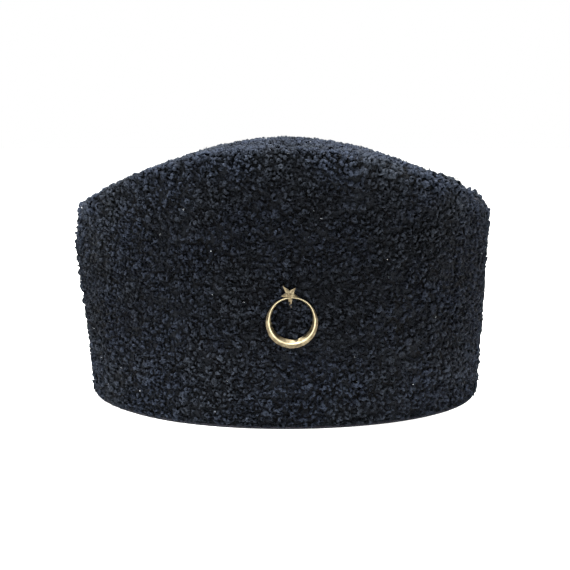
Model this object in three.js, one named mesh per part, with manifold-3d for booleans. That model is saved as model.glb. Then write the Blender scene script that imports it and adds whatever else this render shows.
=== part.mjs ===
// A kalpak: a tall oval hat of curly black lambswool with an arched crown, and a brass badge of
// a crescent and a star pinned to its front.
// Millimetres, +Z up. The hat stands on its hem at z = 0, and its front faces -Y.
// Every angle round the hat is counted from the front, in degrees, towards +X.
import * as THREE from "three";
import { mergeVertices } from "three/addons/utils/BufferGeometryUtils.js";
import Module from "manifold-3d";

const wasm = await Module();
wasm.setup();

// The wool body: outside sizes, taken at the tops of the curls.
const hemWidth = 203; // side to side at the hem
const hemDepth = 196; // front to back at the hem
const rimWidth = 214.5; // side to side at the rim of the crown
const rimDepth = 208; // front to back at the rim of the crown
const frontHeight = 130; // hem to rim at the front
const backHeight = 131.5; // hem to rim at the back
const sideHeight = 98.8; // hem to rim at the two sides
const sideLean = 1.3; // how much higher the right side is than that, and lower the left one
const archPower = 1.9; // how square the arch of the rim is: 2 is a parabola
const frontRidge = -6; // top of the arch at the front rim, off the middle towards +X
const backRidge = 5; // and at the back rim
const domeRise = 2; // how far the crown cloth swells above that arch at its middle
const domePower = 3; // how much of that swelling keeps to the middle
const bandWall = 6; // backing, stiffening and pile of the side band
const crownWall = 5; // backing and pile of the crown cloth
const hemRound = 2.4; // radius of both turned edges of the hem
const rimRound = 6; // usual radius of the corner between band and crown
const seamGap = 0.3; // gap left between two pieces that touch

// The badge, in its own plane.
const badgeHeight = 50.6; // centre of the crescent's outer circle above the hem
const badgeAround = 1.7; // degrees from the middle of the front
const crescentRadius = 11.8; // outer circle
const crescentHollow = 9.5; // radius of the inner circle
const crescentOffset = 1.75; // how far the inner circle is raised, which thins the top
const crescentRidge = 2.7; // height of the ridge at the thickest place
const tipRidge = 1; // height of the ridge where the two tips meet
const crescentEdge = 0.6; // thickness at the edges
const ridgeShare = 0.43; // place of the ridge, from the inner edge to the outer one
const tipShare = 0.85; // its place at the tips
const tipStart = 0.1; // where it starts to move there, as a share of the outer radius upwards
const tipEnd = 0.9; // and where it has got there
const starRadius = 5; // usual reach of a point of the star
const starWaist = 1.9; // radius of the corners between its points
const starRise = 12.9; // centre of the star above the centre of the crescent
const starAcross = -0.95; // and beside it
const starRidge = 2; // height of the star's peak
const starEdge = 0.7; // thickness at its edges
const postRadius = 1; // the soldered post that goes through the band
const postClearance = 0.3; // round the post, in the band and in the nut
const nutRadius = 4.5;
const nutHeight = 1.8;
const postEnd = 1; // how far the post stands out of the nut

// Fineness of the facets.
const aroundSteps = 96;
const bandLevels = 7;
const crownRings = 7;
const arcSteps = 3;
const crescentSteps = 64;
const postSides = 12;

// Soft irregularities of the band. out is a share of the hem's width, negative inwards.
const bandDents = [
  { name: "old fold at the left", around: -88, spread: 14, up: 0.74, tall: 0.3, out: 0.0143 },
  { name: "slumped left shoulder", around: -90, spread: 28, up: 1.04, tall: 0.14, out: -0.012 },
  { name: "slumped right shoulder", around: 96, spread: 24, up: 1.05, tall: 0.22, out: -0.006 },
  { name: "flat of the left front", around: -45, spread: 24, up: 0.7, tall: 0.45, out: -0.008 },
  { name: "fullness of the right front", around: 38, spread: 22, up: 0.45, tall: 0.35, out: 0.005 },
  { name: "hem drawn in at the left front", around: -56, spread: 20, up: 0, tall: 0.12, out: -0.009 },
  { name: "hollow at the back", around: 172, spread: 28, up: 0.55, tall: 0.35, out: -0.008 },
];

// Soft irregularities of the crown. Places are shares of the rim's half width and half depth,
// spread is a share of its half width, and rise is a share of the front's height.
const crownDents = [
  { name: "dip behind the front rim", across: -0.1, back: -0.62, spread: 0.28, rise: -0.008 },
  { name: "dip at the right", across: 0.62, back: 0.1, spread: 0.26, rise: -0.01 },
  { name: "dip at the left", across: -0.72, back: 0.1, spread: 0.2, rise: -0.007 },
  { name: "swell at the left back", across: -0.4, back: 0.4, spread: 0.3, rise: 0.003 },
];

// How round the rim's corner is, as a share of rimRound.
const rimCorners = [
  { name: "front", around: 0, share: 0.8 },
  { name: "right", around: 90, share: 1.6 },
  { name: "back", around: 180, share: 1 },
  { name: "left", around: 270, share: 0.4 },
];

// The star's five points. turn is counted from straight right, anticlockwise.
const starPoints = [
  { name: "down", turn: -84.5, reach: 1.22 },
  { name: "right", turn: -13.5, reach: 0.81 },
  { name: "upper right", turn: 51, reach: 0.83 },
  { name: "upper left", turn: 128.5, reach: 1.06 },
  { name: "left", turn: 188.5, reach: 0.83 },
];

const radians = THREE.MathUtils.degToRad;
const mix = THREE.MathUtils.lerp;
const hump = (distance, spread) => Math.exp(-((distance / spread) ** 2));

// The shortest way from one angle to another, in degrees.
function turnBetween(a, b) {
  return THREE.MathUtils.euclideanModulo(a - b + 180, 360) - 180;
}

// A table's share at an angle, eased between its rows.
function shareAround(rows, angle) {
  const step = 360 / rows.length;
  const place = THREE.MathUtils.euclideanModulo(angle, 360) / step;
  const row = Math.floor(place);
  const ease = THREE.MathUtils.smoothstep(place - row, 0, 1);
  return mix(rows[row].share, rows[(row + 1) % rows.length].share, ease);
}

// The unit direction that faces out of the band at an angle and a share of its height.
function outwards(angle, up) {
  const halfWidth = mix(hemWidth, rimWidth, up) / 2;
  const halfDepth = mix(hemDepth, rimDepth, up) / 2;
  const x = Math.sin(radians(angle)) / halfWidth;
  const y = -Math.cos(radians(angle)) / halfDepth;
  return new THREE.Vector2(x, y).normalize();
}

// A point of the band's plan: up is the share of the height, inset the way in from its outside.
function planPoint(angle, up, inset) {
  const dent = bandDents.reduce((sum, row) => {
    const away = hump(turnBetween(angle, row.around), row.spread);
    return sum + row.out * hemWidth * away * hump(up - row.up, row.tall);
  }, 0);
  const point = new THREE.Vector2(
    (mix(hemWidth, rimWidth, up) / 2) * Math.sin(radians(angle)),
    (-mix(hemDepth, rimDepth, up) / 2) * Math.cos(radians(angle)),
  );
  return point.addScaledVector(outwards(angle, up), dent - inset);
}

// Height of the crown's outer face over a place in the plan, before its edge is rounded.
function crownHeight(x, y) {
  const across = (2 * x) / rimWidth;
  const back = (2 * y) / rimDepth;
  const peak = mix(frontHeight, backHeight, (back + 1) / 2);
  const ridge = (mix(frontRidge, backRidge, (back + 1) / 2) * 2) / rimWidth;
  const off = across - ridge * Math.max(0, 1 - across ** 2);
  const side = sideHeight + sideLean * off;
  const arch = peak - (peak - side) * Math.abs(off) ** archPower;
  const inside = Math.max(0, 1 - across ** 2 - back ** 2);
  const dents = crownDents.reduce((sum, row) => {
    const away = Math.hypot(across - row.across, back - row.back);
    return sum + row.rise * frontHeight * hump(away, row.spread);
  }, 0);
  return arch + domeRise * inside ** domePower + dents * Math.min(1, 3 * inside);
}

// Height of the crown's underside, which keeps crownWall square to the slope.
function undersideHeight(x, y) {
  const step = 0.5;
  const slopeX = (crownHeight(x + step, y) - crownHeight(x - step, y)) / (2 * step);
  const slopeY = (crownHeight(x, y + step) - crownHeight(x, y - step)) / (2 * step);
  return crownHeight(x, y) - crownWall * Math.hypot(1, slopeX, slopeY);
}

// A point on the rounded corner of the rim: turn is 0 on the band and 90 on the crown.
function cornerPoint(angle, turn) {
  const radius = rimRound * shareAround(rimCorners, angle);
  const flat = planPoint(angle, 1, radius * (1 - Math.cos(radians(turn))));
  const z = crownHeight(flat.x, flat.y) - radius * (1 - Math.sin(radians(turn)));
  return new THREE.Vector3(flat.x, flat.y, z);
}

// The turn along that corner which is worth a length of cloth.
function turnFor(angle, length) {
  return THREE.MathUtils.radToDeg(length / (rimRound * shareAround(rimCorners, angle)));
}

// The corner on the inside, where the band's back meets the crown's underside.
function innerCorner(angle, down, inwards) {
  const flat = planPoint(angle, 1, bandWall + inwards);
  return new THREE.Vector3(flat.x, flat.y, undersideHeight(flat.x, flat.y) - down);
}

// A closed body from rings of points: each ring is joined to the next, and the last to the first.
function ringBody(rings) {
  const count = rings[0].length;
  const positions = rings.flat().flatMap((point) => point.toArray());
  const indices = [];
  rings.forEach((ring, row) => {
    const next = (row + 1) % rings.length;
    for (let i = 0; i < count; i++) {
      const j = (i + 1) % count;
      const [a, b] = [row * count + i, row * count + j];
      const [c, d] = [next * count + j, next * count + i];
      indices.push(a, b, c, a, c, d);
    }
  });
  return indexedGeometry(positions, indices);
}

// A closed body from rings between a first and a last point.
function cappedBody(first, rings, last) {
  const count = rings[0].length;
  const points = [first, ...rings.flat(), last];
  const end = points.length - 1;
  const indices = [];
  for (let i = 0; i < count; i++) {
    const j = (i + 1) % count;
    indices.push(0, 1 + j, 1 + i);
    for (let row = 0; row < rings.length - 1; row++) {
      const [a, b] = [1 + row * count + i, 1 + row * count + j];
      indices.push(a, b, b + count, a, b + count, a + count);
    }
    indices.push(end - count + i, end - count + j, end);
  }
  return indexedGeometry(points.flatMap((point) => point.toArray()), indices);
}

function indexedGeometry(positions, indices) {
  const geometry = new THREE.BufferGeometry();
  geometry.setAttribute("position", new THREE.Float32BufferAttribute(positions, 3));
  geometry.setIndex(indices);
  geometry.computeVertexNormals();
  return geometry;
}

// Between three.js geometry and solids that can be joined and cut.
function solidOf(geometry) {
  const bare = geometry.clone();
  bare.deleteAttribute("normal");
  bare.deleteAttribute("uv");
  const merged = mergeVertices(bare, 1e-4);
  return new wasm.Manifold(
    new wasm.Mesh({
      numProp: 3,
      vertProperties: merged.attributes.position.array,
      triVerts: new Uint32Array(merged.index.array),
    }),
  );
}

function geometryOf(solid) {
  const mesh = solid.getMesh();
  return indexedGeometry(Array.from(mesh.vertProperties), Array.from(mesh.triVerts));
}

const angles = Array.from({ length: aroundSteps }, (_, i) => (360 * i) / aroundSteps);

// The height at which the band's rows stop, below the rounded rim corner.
function wallTop(angle) {
  return cornerPoint(angle, 0).z;
}

// A row of the band at a share of its straight wall, on its outer or its inner face.
function wallRing(share, inset) {
  return angles.map((angle) => {
    const full = crownHeight(planPoint(angle, 1, 0).x, planPoint(angle, 1, 0).y);
    const z = mix(hemRound, wallTop(angle), share);
    const flat = planPoint(angle, z / full, inset);
    return new THREE.Vector3(flat.x, flat.y, z);
  });
}

// A row of the hem's turned edge: outer or inner, with turn 0 underneath and 90 on the wall.
function hemRing(turn, inner) {
  const sunk = hemRound * (1 - Math.sin(radians(turn)));
  return angles.map((angle) => {
    const flat = planPoint(angle, 0, inner ? bandWall - sunk : sunk);
    return new THREE.Vector3(flat.x, flat.y, hemRound * (1 - Math.cos(radians(turn))));
  });
}

function bandGeometry() {
  const steps = Array.from({ length: arcSteps }, (_, i) => i / arcSteps);
  const levels = Array.from({ length: bandLevels }, (_, i) => i / (bandLevels - 1));
  const outerHem = steps.map((share) => hemRing(90 * share, false));
  const outer = levels.map((share) => wallRing(share, 0));
  const corner = [...steps.slice(1), 1].map((share) =>
    angles.map((angle) => cornerPoint(angle, share * (45 - turnFor(angle, seamGap / 2)))),
  );
  const mitre = angles.map((angle) => innerCorner(angle, seamGap * Math.SQRT1_2, 0));
  const inner = levels.slice(0, -1).reverse().map((share) => wallRing(share, bandWall));
  const innerHem = steps.slice().reverse().map((share) => hemRing(90 * share, true));
  return ringBody([...outerHem, ...outer, ...corner, mitre, ...inner, ...innerHem]);
}

function crownGeometry() {
  const steps = Array.from({ length: arcSteps + 1 }, (_, i) => i / arcSteps);
  const shrinks = Array.from({ length: crownRings - 1 }, (_, i) => 1 - (i + 1) / crownRings);
  const start = (angle) => 45 + turnFor(angle, seamGap / 2);
  const corner = steps.map((share) =>
    angles.map((angle) => cornerPoint(angle, mix(start(angle), 90, share))),
  );
  const edge = corner.at(-1);
  const top = shrinks.map((shrink) =>
    edge.map(({ x, y }) => {
      return new THREE.Vector3(shrink * x, shrink * y, crownHeight(shrink * x, shrink * y));
    }),
  );
  const mitre = angles.map((angle) => innerCorner(angle, 0, seamGap * Math.SQRT1_2));
  const under = shrinks.map((shrink) =>
    mitre.map(({ x, y }) => {
      return new THREE.Vector3(shrink * x, shrink * y, undersideHeight(shrink * x, shrink * y));
    }),
  );
  const middle = new THREE.Vector3(0, 0, crownHeight(0, 0));
  const below = new THREE.Vector3(0, 0, undersideHeight(0, 0));
  return cappedBody(below, [...under.reverse(), mitre, ...corner, ...top], middle);
}

// Where the badge sits: on the front of the band, square to its slope.
const badgeUp = badgeHeight / frontHeight;
const badgeSpot = planPoint(badgeAround, badgeUp, 0);
const badgeFacing = outwards(badgeAround, badgeUp);
const badgeTurn = Math.atan2(badgeFacing.x, -badgeFacing.y);
const frontLean = Math.atan2(planPoint(0, 0, 0).y - planPoint(0, 1, 0).y, frontHeight);
const badgeSeat = new THREE.Group();
badgeSeat.name = "badge_seat";
badgeSeat.position.set(badgeSpot.x, badgeSpot.y, badgeHeight);
badgeSeat.rotation.set(Math.PI / 2 + frontLean, 0, badgeTurn, "ZXY");
badgeSeat.updateMatrix();

// The crescent as a closed ring with a ridge, in the badge's plane, with its back at z = 0.
function crescentGeometry() {
  const widest = crescentRadius + crescentOffset - crescentHollow;
  const rows = Array.from({ length: crescentSteps }, (_, i) => {
    const turn = (2 * Math.PI * i) / crescentSteps;
    const [x, y] = [Math.cos(turn), Math.sin(turn)];
    const along = crescentOffset * y;
    const outer = Math.sqrt(along ** 2 + crescentRadius ** 2 - crescentOffset ** 2) - along;
    const width = outer - crescentHollow;
    const ridge = mix(tipRidge, crescentRidge, Math.sqrt(width / widest));
    const share = mix(ridgeShare, tipShare, THREE.MathUtils.smoothstep(y, tipStart, tipEnd));
    const section = [
      { reach: crescentHollow, z: 0 },
      { reach: outer, z: 0 },
      { reach: outer, z: crescentEdge },
      { reach: crescentHollow + share * width, z: ridge },
      { reach: crescentHollow, z: crescentEdge },
    ];
    return section.map(({ reach, z }) => {
      return new THREE.Vector3(reach * x, crescentOffset + reach * y, z);
    });
  });
  const rings = rows[0].map((_, k) => rows.map((row) => row[k]));
  return ringBody(rings);
}

// The star: a peak, ridges out to the points, and valleys to the corners between them.
function starGeometry() {
  const rim = starPoints.flatMap((row, i) => {
    const next = starPoints[(i + 1) % starPoints.length];
    const between = row.turn + THREE.MathUtils.euclideanModulo(next.turn - row.turn, 360) / 2;
    return [
      { turn: row.turn, reach: starRadius * row.reach },
      { turn: between, reach: starWaist },
    ];
  });
  const ring = (z) =>
    rim.map(({ turn, reach }) => {
      const [x, y] = [Math.cos(radians(turn)), Math.sin(radians(turn))];
      return new THREE.Vector3(starAcross + reach * x, starRise + reach * y, z);
    });
  const back = new THREE.Vector3(starAcross, starRise, 0);
  const peak = new THREE.Vector3(starAcross, starRise, starRidge);
  return cappedBody(back, [ring(0), ring(starEdge)], peak);
}

// The post is soldered under the widest place of the crescent.
const postX = 0;
const postY = -(crescentRadius + crescentHollow - crescentOffset) / 2;
const nutGap = seamGap + nutRadius ** 2 / hemDepth;
const nutTop = -bandWall - nutGap;

function roundBar(radius, from, to) {
  const bar = new THREE.CylinderGeometry(radius, radius, to - from, postSides);
  bar.rotateX(Math.PI / 2);
  bar.translate(postX, postY, (from + to) / 2);
  return bar;
}

function badgeGeometry() {
  const raised = [crescentGeometry(), starGeometry()].map((piece) => {
    return piece.translate(0, 0, seamGap);
  });
  const [crescent, star] = raised.map(solidOf);
  const tail = nutTop - nutHeight - postEnd;
  const post = solidOf(roundBar(postRadius, tail, seamGap + crescentEdge));
  return geometryOf(crescent.add(star).add(post));
}

function nutGeometry() {
  const disc = solidOf(roundBar(nutRadius, nutTop - nutHeight, nutTop));
  const reach = nutHeight + postEnd;
  const bore = roundBar(postRadius + postClearance, nutTop - reach, nutTop + reach);
  return geometryOf(disc.subtract(solidOf(bore)));
}

// The band with the hole that the post passes through.
function piercedBandGeometry() {
  const hole = roundBar(postRadius + postClearance, -2 * bandWall, bandWall);
  hole.applyMatrix4(badgeSeat.matrix);
  return geometryOf(solidOf(bandGeometry()).subtract(solidOf(hole)));
}

const wool = new THREE.MeshStandardMaterial({ color: 0x23262e, roughness: 0.95, metalness: 0 });
const crownWool = new THREE.MeshStandardMaterial({ color: 0x292c34, roughness: 0.95, metalness: 0 });
const brass = new THREE.MeshStandardMaterial({ color: 0xc2a870, roughness: 0.35, metalness: 1 });
const plainBrass = new THREE.MeshStandardMaterial({ color: 0xa8905c, roughness: 0.5, metalness: 1 });

function named(name, geometry, material) {
  const mesh = new THREE.Mesh(geometry, material);
  mesh.name = name;
  return mesh;
}

const kalpak = new THREE.Group();
kalpak.name = "kalpak";
badgeSeat.add(
  named("crescent_star_badge", badgeGeometry(), brass),
  named("badge_nut", nutGeometry(), plainBrass),
);
kalpak.add(
  named("side_band", piercedBandGeometry(), wool),
  named("crown_top", crownGeometry(), crownWool),
  badgeSeat,
);

export default kalpak;
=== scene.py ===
"""The looks of a kalpak: a tall hat of curled black lambswool with a brass badge.

The frame is in metres, and the sizes below are in millimetres. The hat stands on its hem at
z = 0 and its front faces -Y. Angles round the hat are counted from the front towards +X.
"""

import logging
import math
from collections.abc import Callable, Iterable, Sequence
from dataclasses import dataclass, field
from enum import Enum

import bmesh
import bpy
import numpy as np
from mathutils import Matrix, Vector, noise


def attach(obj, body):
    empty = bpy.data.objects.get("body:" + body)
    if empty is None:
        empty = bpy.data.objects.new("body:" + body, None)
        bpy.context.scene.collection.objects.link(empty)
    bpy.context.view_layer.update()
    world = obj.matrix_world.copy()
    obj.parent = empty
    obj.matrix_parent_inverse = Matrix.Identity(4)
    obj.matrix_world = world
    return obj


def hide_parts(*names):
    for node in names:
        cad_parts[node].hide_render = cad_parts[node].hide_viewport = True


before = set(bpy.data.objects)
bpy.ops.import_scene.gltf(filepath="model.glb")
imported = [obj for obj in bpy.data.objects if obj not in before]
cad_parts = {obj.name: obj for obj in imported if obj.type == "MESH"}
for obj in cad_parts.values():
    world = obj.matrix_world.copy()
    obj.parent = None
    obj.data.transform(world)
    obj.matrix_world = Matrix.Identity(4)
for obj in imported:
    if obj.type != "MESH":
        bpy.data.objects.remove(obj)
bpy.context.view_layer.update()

log = logging.getLogger("kalpak")

MM = 0.001
BODY = "root"
# The curls gather into soft lumps about this wide, in millimetres.
LUMP = 4.8


# About how far the band's outside is from its axis, in millimetres.
BAND_RADIUS = 102.0


class Side(Enum):
    """The two faces that a hide has."""

    WOOL = "wool"
    FLESH = "flesh"


# Small helpers.


def linear(colour: str) -> tuple[float, float, float, float]:
    """Turns an sRGB colour into linear numbers.

    Args:
        colour: The colour as six hex digits after a hash.

    Returns:
        Red, green, blue and an alpha of 1.
    """
    channels = (int(colour[i : i + 2], 16) / 255 for i in (1, 3, 5))
    r, g, b = (c / 12.92 if c <= 0.04045 else ((c + 0.055) / 1.055) ** 2.4 for c in channels)
    return (r, g, b, 1.0)


def per_metre(size: float) -> float:
    """Gives the scale of a pattern whose marks are this many millimetres apart."""
    return 1 / (size * MM)


def add_node(
    tree: bpy.types.NodeTree,
    kind: str,
    settings: dict[str | int, object] | None = None,
    links: dict[str | int, bpy.types.NodeSocket] | None = None,
) -> bpy.types.Node:
    """Adds a node with its settings and the links into it.

    Args:
        tree: The node tree it goes into.
        kind: The node's type.
        settings: Properties of the node, or values of its inputs, by name or number.
        links: The outputs that feed its inputs, by the input's name or number.

    Returns:
        The new node.
    """
    node = tree.nodes.new(kind)
    for name, value in (settings or {}).items():
        if isinstance(name, str) and hasattr(node, name):
            setattr(node, name, value)
        else:
            node.inputs[name].default_value = value
    for name, source in (links or {}).items():
        tree.links.new(source, node.inputs[name])
    return node


def blank_material(name: str) -> tuple[bpy.types.Material, bpy.types.NodeTree]:
    """Makes a material with an empty node tree.

    Args:
        name: The material's name.

    Returns:
        The material and its tree.
    """
    material = bpy.data.materials.new(name)
    material.use_nodes = True
    material.node_tree.nodes.clear()
    return material, material.node_tree


def drift(places: np.ndarray, size: float, seed: float) -> np.ndarray:
    """Reads a soft noise at each place.

    Args:
        places: Points in millimetres, a row each.
        size: About how far apart its hills are, in millimetres.
        seed: Moves the noise, so that each use has its own.

    Returns:
        A value from about -1 to 1 for each point.
    """
    shift = Vector((seed, -seed, 2 * seed))
    return np.array([noise.noise(Vector(p) / size + shift) for p in places])


def pillows(places: np.ndarray, size: float) -> np.ndarray:
    """Reads how far each place is inside one of the soft lumps that wool gathers into.

    Args:
        places: Points in millimetres, a row each.
        size: About how wide the lumps are, in millimetres.

    Returns:
        0 in a crease, rising round to 1 inside a lump.
    """
    nearest = np.array([noise.voronoi(Vector(p) / size)[0][:2] for p in places.tolist()])
    nearest = nearest.reshape(-1, 2)
    inside = np.clip((nearest[:, 1] - nearest[:, 0]) / 0.6, 0, 1)
    return np.sqrt(1 - (1 - inside) ** 2)


def unit(vectors: np.ndarray) -> np.ndarray:
    """Scales each row to a length of 1."""
    return vectors / np.maximum(np.linalg.norm(vectors, axis=-1, keepdims=True), 1e-12)


def turned_about(facing: np.ndarray, spread: float, rng: np.random.Generator) -> np.ndarray:
    """Turns things at random about the directions that they face.

    Args:
        facing: The directions.
        spread: How far the things lean away from them.
        rng: The random source.

    Returns:
        A rotation for each.
    """
    axis = unit(facing + rng.normal(0, spread, facing.shape))
    first = unit(np.cross(axis, rng.normal(0, 1, facing.shape)))
    return np.stack([first, np.cross(axis, first), axis], -1)


def object_of(bm: bmesh.types.BMesh, name: str, *materials: bpy.types.Material) -> bpy.types.Object:
    """Makes an object at the origin from a bmesh in millimetres, and frees the bmesh.

    Args:
        bm: The shape.
        name: The piece's name.
        *materials: Its materials, in the order of their slots.

    Returns:
        The object, linked to the scene.
    """
    bmesh.ops.scale(bm, vec=(MM, MM, MM), verts=bm.verts)
    mesh = bpy.data.meshes.new(name)
    bm.to_mesh(mesh)
    bm.free()
    for material in materials:
        mesh.materials.append(material)
    piece = bpy.data.objects.new(name, mesh)
    bpy.context.scene.collection.objects.link(piece)
    return piece


def wear(piece: bpy.types.Object, slot: str) -> bpy.types.Object:
    """Sets a piece on the hat's one body, and reports it.

    Args:
        piece: The finished piece.
        slot: The record's material slot. It is not used.

    Returns:
        The same piece.
    """
    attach(piece, BODY)
    triangles = sum(len(p.vertices) - 2 for p in piece.data.polygons)
    log.info("%s: %d triangles", piece.name, triangles)
    return piece


def add_noise(
    tree: bpy.types.NodeTree,
    place: bpy.types.NodeSocket,
    scale: float,
    detail: float = 2.0,
    roughness: float = 0.5,
) -> bpy.types.NodeSocket:
    """Adds a noise texture.

    Args:
        tree: The node tree it goes into.
        place: The coordinates it reads.
        scale: Its scale for those coordinates.
        detail: How many finer layers it has.
        roughness: How strong those are.

    Returns:
        Its grey output.
    """
    values = {"Scale": scale, "Detail": detail, "Roughness": roughness}
    return add_node(tree, "ShaderNodeTexNoise", values, {"Vector": place}).outputs["Fac"]


def add_range(
    tree: bpy.types.NodeTree,
    value: bpy.types.NodeSocket,
    start: tuple[float, float] = (0.0, 1.0),
    end: tuple[float, float] = (0.0, 1.0),
    ease: str = "LINEAR",
) -> bpy.types.NodeSocket:
    """Maps a value from one range to another, and holds it at the ends.

    Args:
        tree: The node tree it goes into.
        value: The value.
        start: The range it is read in.
        end: The range it is mapped to.
        ease: How it runs between the ends.

    Returns:
        The mapped value.
    """
    settings = {
        "interpolation_type": ease,
        "From Min": start[0],
        "From Max": start[1],
        "To Min": end[0],
        "To Max": end[1],
    }
    return add_node(tree, "ShaderNodeMapRange", settings, {"Value": value}).outputs["Result"]


def add_product(
    tree: bpy.types.NodeTree, *factors: bpy.types.NodeSocket
) -> bpy.types.NodeSocket:
    """Multiplies values.

    Args:
        tree: The node tree it goes into.
        *factors: The values.

    Returns:
        Their product.
    """
    product = factors[0]
    for factor in factors[1:]:
        links = {0: product, 1: factor}
        node = add_node(tree, "ShaderNodeMath", {"operation": "MULTIPLY"}, links)
        product = node.outputs["Value"]
    return product


def add_weighted(
    tree: bpy.types.NodeTree,
    value: bpy.types.NodeSocket,
    weight: float,
    rest: bpy.types.NodeSocket,
) -> bpy.types.NodeSocket:
    """Adds a weighted value to another.

    Args:
        tree: The node tree it goes into.
        value: The value.
        weight: How much of it is added.
        rest: What it is added to.

    Returns:
        Their sum.
    """
    settings = {"operation": "MULTIPLY_ADD", 1: weight}
    return add_node(tree, "ShaderNodeMath", settings, {0: value, 2: rest}).outputs["Value"]


def add_blend(
    tree: bpy.types.NodeTree, share: bpy.types.NodeSocket, first: str, second: str
) -> bpy.types.NodeSocket:
    """Mixes two colours.

    Args:
        tree: The node tree it goes into.
        share: How much of the second colour there is.
        first: The first colour.
        second: The second colour.

    Returns:
        The mixed colour.
    """
    settings = {"data_type": "RGBA", 6: linear(first), 7: linear(second)}
    return add_node(tree, "ShaderNodeMix", settings, {0: share}).outputs[2]


def add_bump(
    tree: bpy.types.NodeTree,
    height: bpy.types.NodeSocket,
    strength: float,
    depth: float,
    below: bpy.types.NodeSocket | None = None,
) -> bpy.types.NodeSocket:
    """Adds a relief to a surface.

    Args:
        tree: The node tree it goes into.
        height: The relief, from 0 to 1.
        strength: How much of it shows.
        depth: How deep it is, in millimetres.
        below: The normal of a coarser relief that it lies on.

    Returns:
        The surface's normal.
    """
    links = {"Height": height} | ({"Normal": below} if below else {})
    settings = {"Strength": strength, "Distance": depth * MM}
    return add_node(tree, "ShaderNodeBump", settings, links).outputs["Normal"]


def add_shader(
    tree: bpy.types.NodeTree,
    settings: dict[str | int, object],
    links: dict[str | int, bpy.types.NodeSocket],
) -> None:
    """Adds the surface's shader and its output.

    Args:
        tree: The node tree they go into.
        settings: Values of the shader's inputs.
        links: The outputs that feed its inputs.
    """
    shader = add_node(tree, "ShaderNodeBsdfPrincipled", settings, links)
    add_node(tree, "ShaderNodeOutputMaterial", {}, {"Surface": shader.outputs["BSDF"]})


def add_lumps(
    tree: bpy.types.NodeTree, place: bpy.types.NodeSocket, size: float, width: float
) -> bpy.types.NodeSocket:
    """Adds the soft lumps that wool gathers into, with creases between them.

    Args:
        tree: The node tree they go into.
        place: Object coordinates.
        size: About how wide the lumps are, in millimetres.
        width: How wide a crease is, in millimetres.

    Returns:
        An output that is 0 in a crease and 1 inside a lump.
    """
    stirring = {"Scale": per_metre(0.6 * size), "Detail": 2.0, "Roughness": 0.6}
    stir = add_node(tree, "ShaderNodeTexNoise", stirring, {"Vector": place}).outputs["Color"]
    moved = add_node(
        tree,
        "ShaderNodeVectorMath",
        {"operation": "MULTIPLY_ADD", 1: (0.7 * size * MM,) * 3},
        {0: stir, 2: place},
    )
    edges = add_node(
        tree,
        "ShaderNodeTexVoronoi",
        {"feature": "DISTANCE_TO_EDGE", "Scale": per_metre(size)},
        {"Vector": moved.outputs["Vector"]},
    )
    # Some creases are felted shut.
    felted = add_noise(tree, place, per_metre(2.2 * size), 1.0)
    shut = add_range(tree, felted, (0.5, 0.75), (0.0, 1.6 * width / size))
    inside = add_weighted(tree, edges.outputs["Distance"], 1.0, shut)
    return add_range(tree, inside, (0.0, width / size), ease="SMOOTHSTEP")


# Finishes.


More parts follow.
